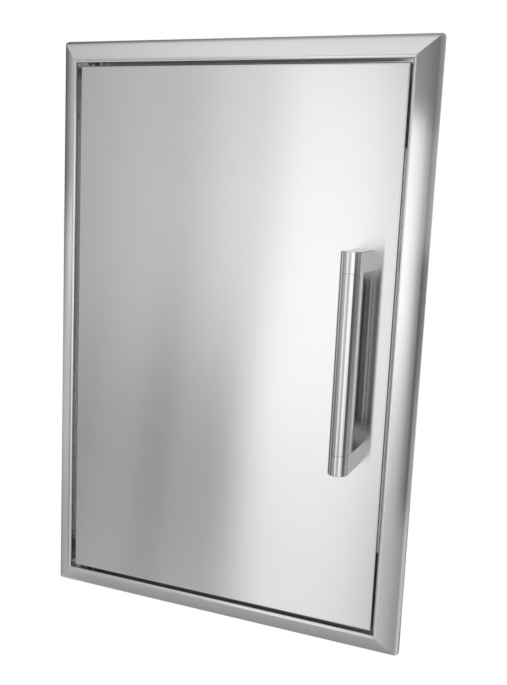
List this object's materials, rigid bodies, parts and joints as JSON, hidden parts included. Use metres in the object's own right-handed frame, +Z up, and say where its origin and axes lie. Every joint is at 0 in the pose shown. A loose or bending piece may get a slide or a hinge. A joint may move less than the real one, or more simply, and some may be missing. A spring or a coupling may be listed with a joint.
{
  "type": "single access door",
  "caption": "Brushed stainless access door for an outdoor kitchen island: flush leaf with an upright bar handle in a pillow-section trim frame, on pivot pins.",
  "frame": {"origin": "centre of the wall cut-out, in the plane of the wall's front face", "axes": "+X to the right seen from the front, +Y into the wall, +Z up; the front of the door faces -Y"},
  "size_m": [0.432, 0.1205, 0.648],
  "materials": {
    "frame_steel": "fine brushed stainless, grain along each side",
    "jamb_steel": "mill finish stainless",
    "door_steel": "fine brushed stainless, grain across the leaf",
    "liner_steel": "fine brushed stainless",
    "handle_steel": "satin polished stainless",
    "bracket_steel": "mill finish stainless",
    "turned_steel": "turned stainless",
    "spring_steel": "drawn stainless wire",
    "bush_plastic": "black acetal",
    "catch_plastic": "moulded black",
    "magnet": "dark sintered ferrite",
    "knob_plastic": "moulded black",
    "bumper_rubber": "soft black"
  },
  "bodies": {
    "frame": {"trim_bottom": "frame_steel", "jamb_bottom": "jamb_steel", "trim_hinge_side": "frame_steel", "jamb_hinge_side": "jamb_steel", "trim_top": "frame_steel", "jamb_top": "jamb_steel", "trim_latch_side": "frame_steel", "jamb_latch_side": "jamb_steel", "lower_hinge_plate": "bracket_steel", "upper_hinge_plate": "bracket_steel", "lower_pivot_pin": "turned_steel", "upper_pivot_bush": "bush_plastic", "upper_stop_angle": "jamb_steel", "upper_catch_housing": "catch_plastic", "upper_catch_magnet": "magnet", "upper_catch_poles": "turned_steel", "upper_bumper": "bumper_rubber", "lower_stop_angle": "jamb_steel", "lower_catch_housing": "catch_plastic", "lower_catch_magnet": "magnet", "lower_catch_poles": "turned_steel", "lower_bumper": "bumper_rubber"},
    "door": {"door_skin": "door_steel", "door_liner": "liner_steel", "door_stiffener": "bracket_steel", "lower_pivot_bracket": "bracket_steel", "upper_pin_bracket": "bracket_steel", "lower_pivot_bush": "bush_plastic", "handle_end_top": "handle_steel", "handle_end_bottom": "handle_steel", "handle_grip": "handle_steel", "handle_channel": "bracket_steel", "handle_bolts": "turned_steel", "upper_strike_plate": "turned_steel", "lower_strike_plate": "turned_steel"},
    "release_pin": {"upper_pivot_pin": "turned_steel", "release_knob": "knob_plastic", "pin_spring": "spring_steel"}
  },
  "joints": [
    {"name": "door_hinge", "type": "hinge", "parent": "frame", "child": "door", "pos_m": [-0.1732, -0.0132, 0], "axis": [0, 0, -1], "range_deg": [0, 125]},
    {"name": "pin_release", "type": "slide", "parent": "door", "child": "release_pin", "axis": [0, 0, -1], "range_m": [0, 0.0095], "stiffness_N_per_m": 300, "springref_m": -0.02, "deforming": ["pin_spring"]}
  ]
}
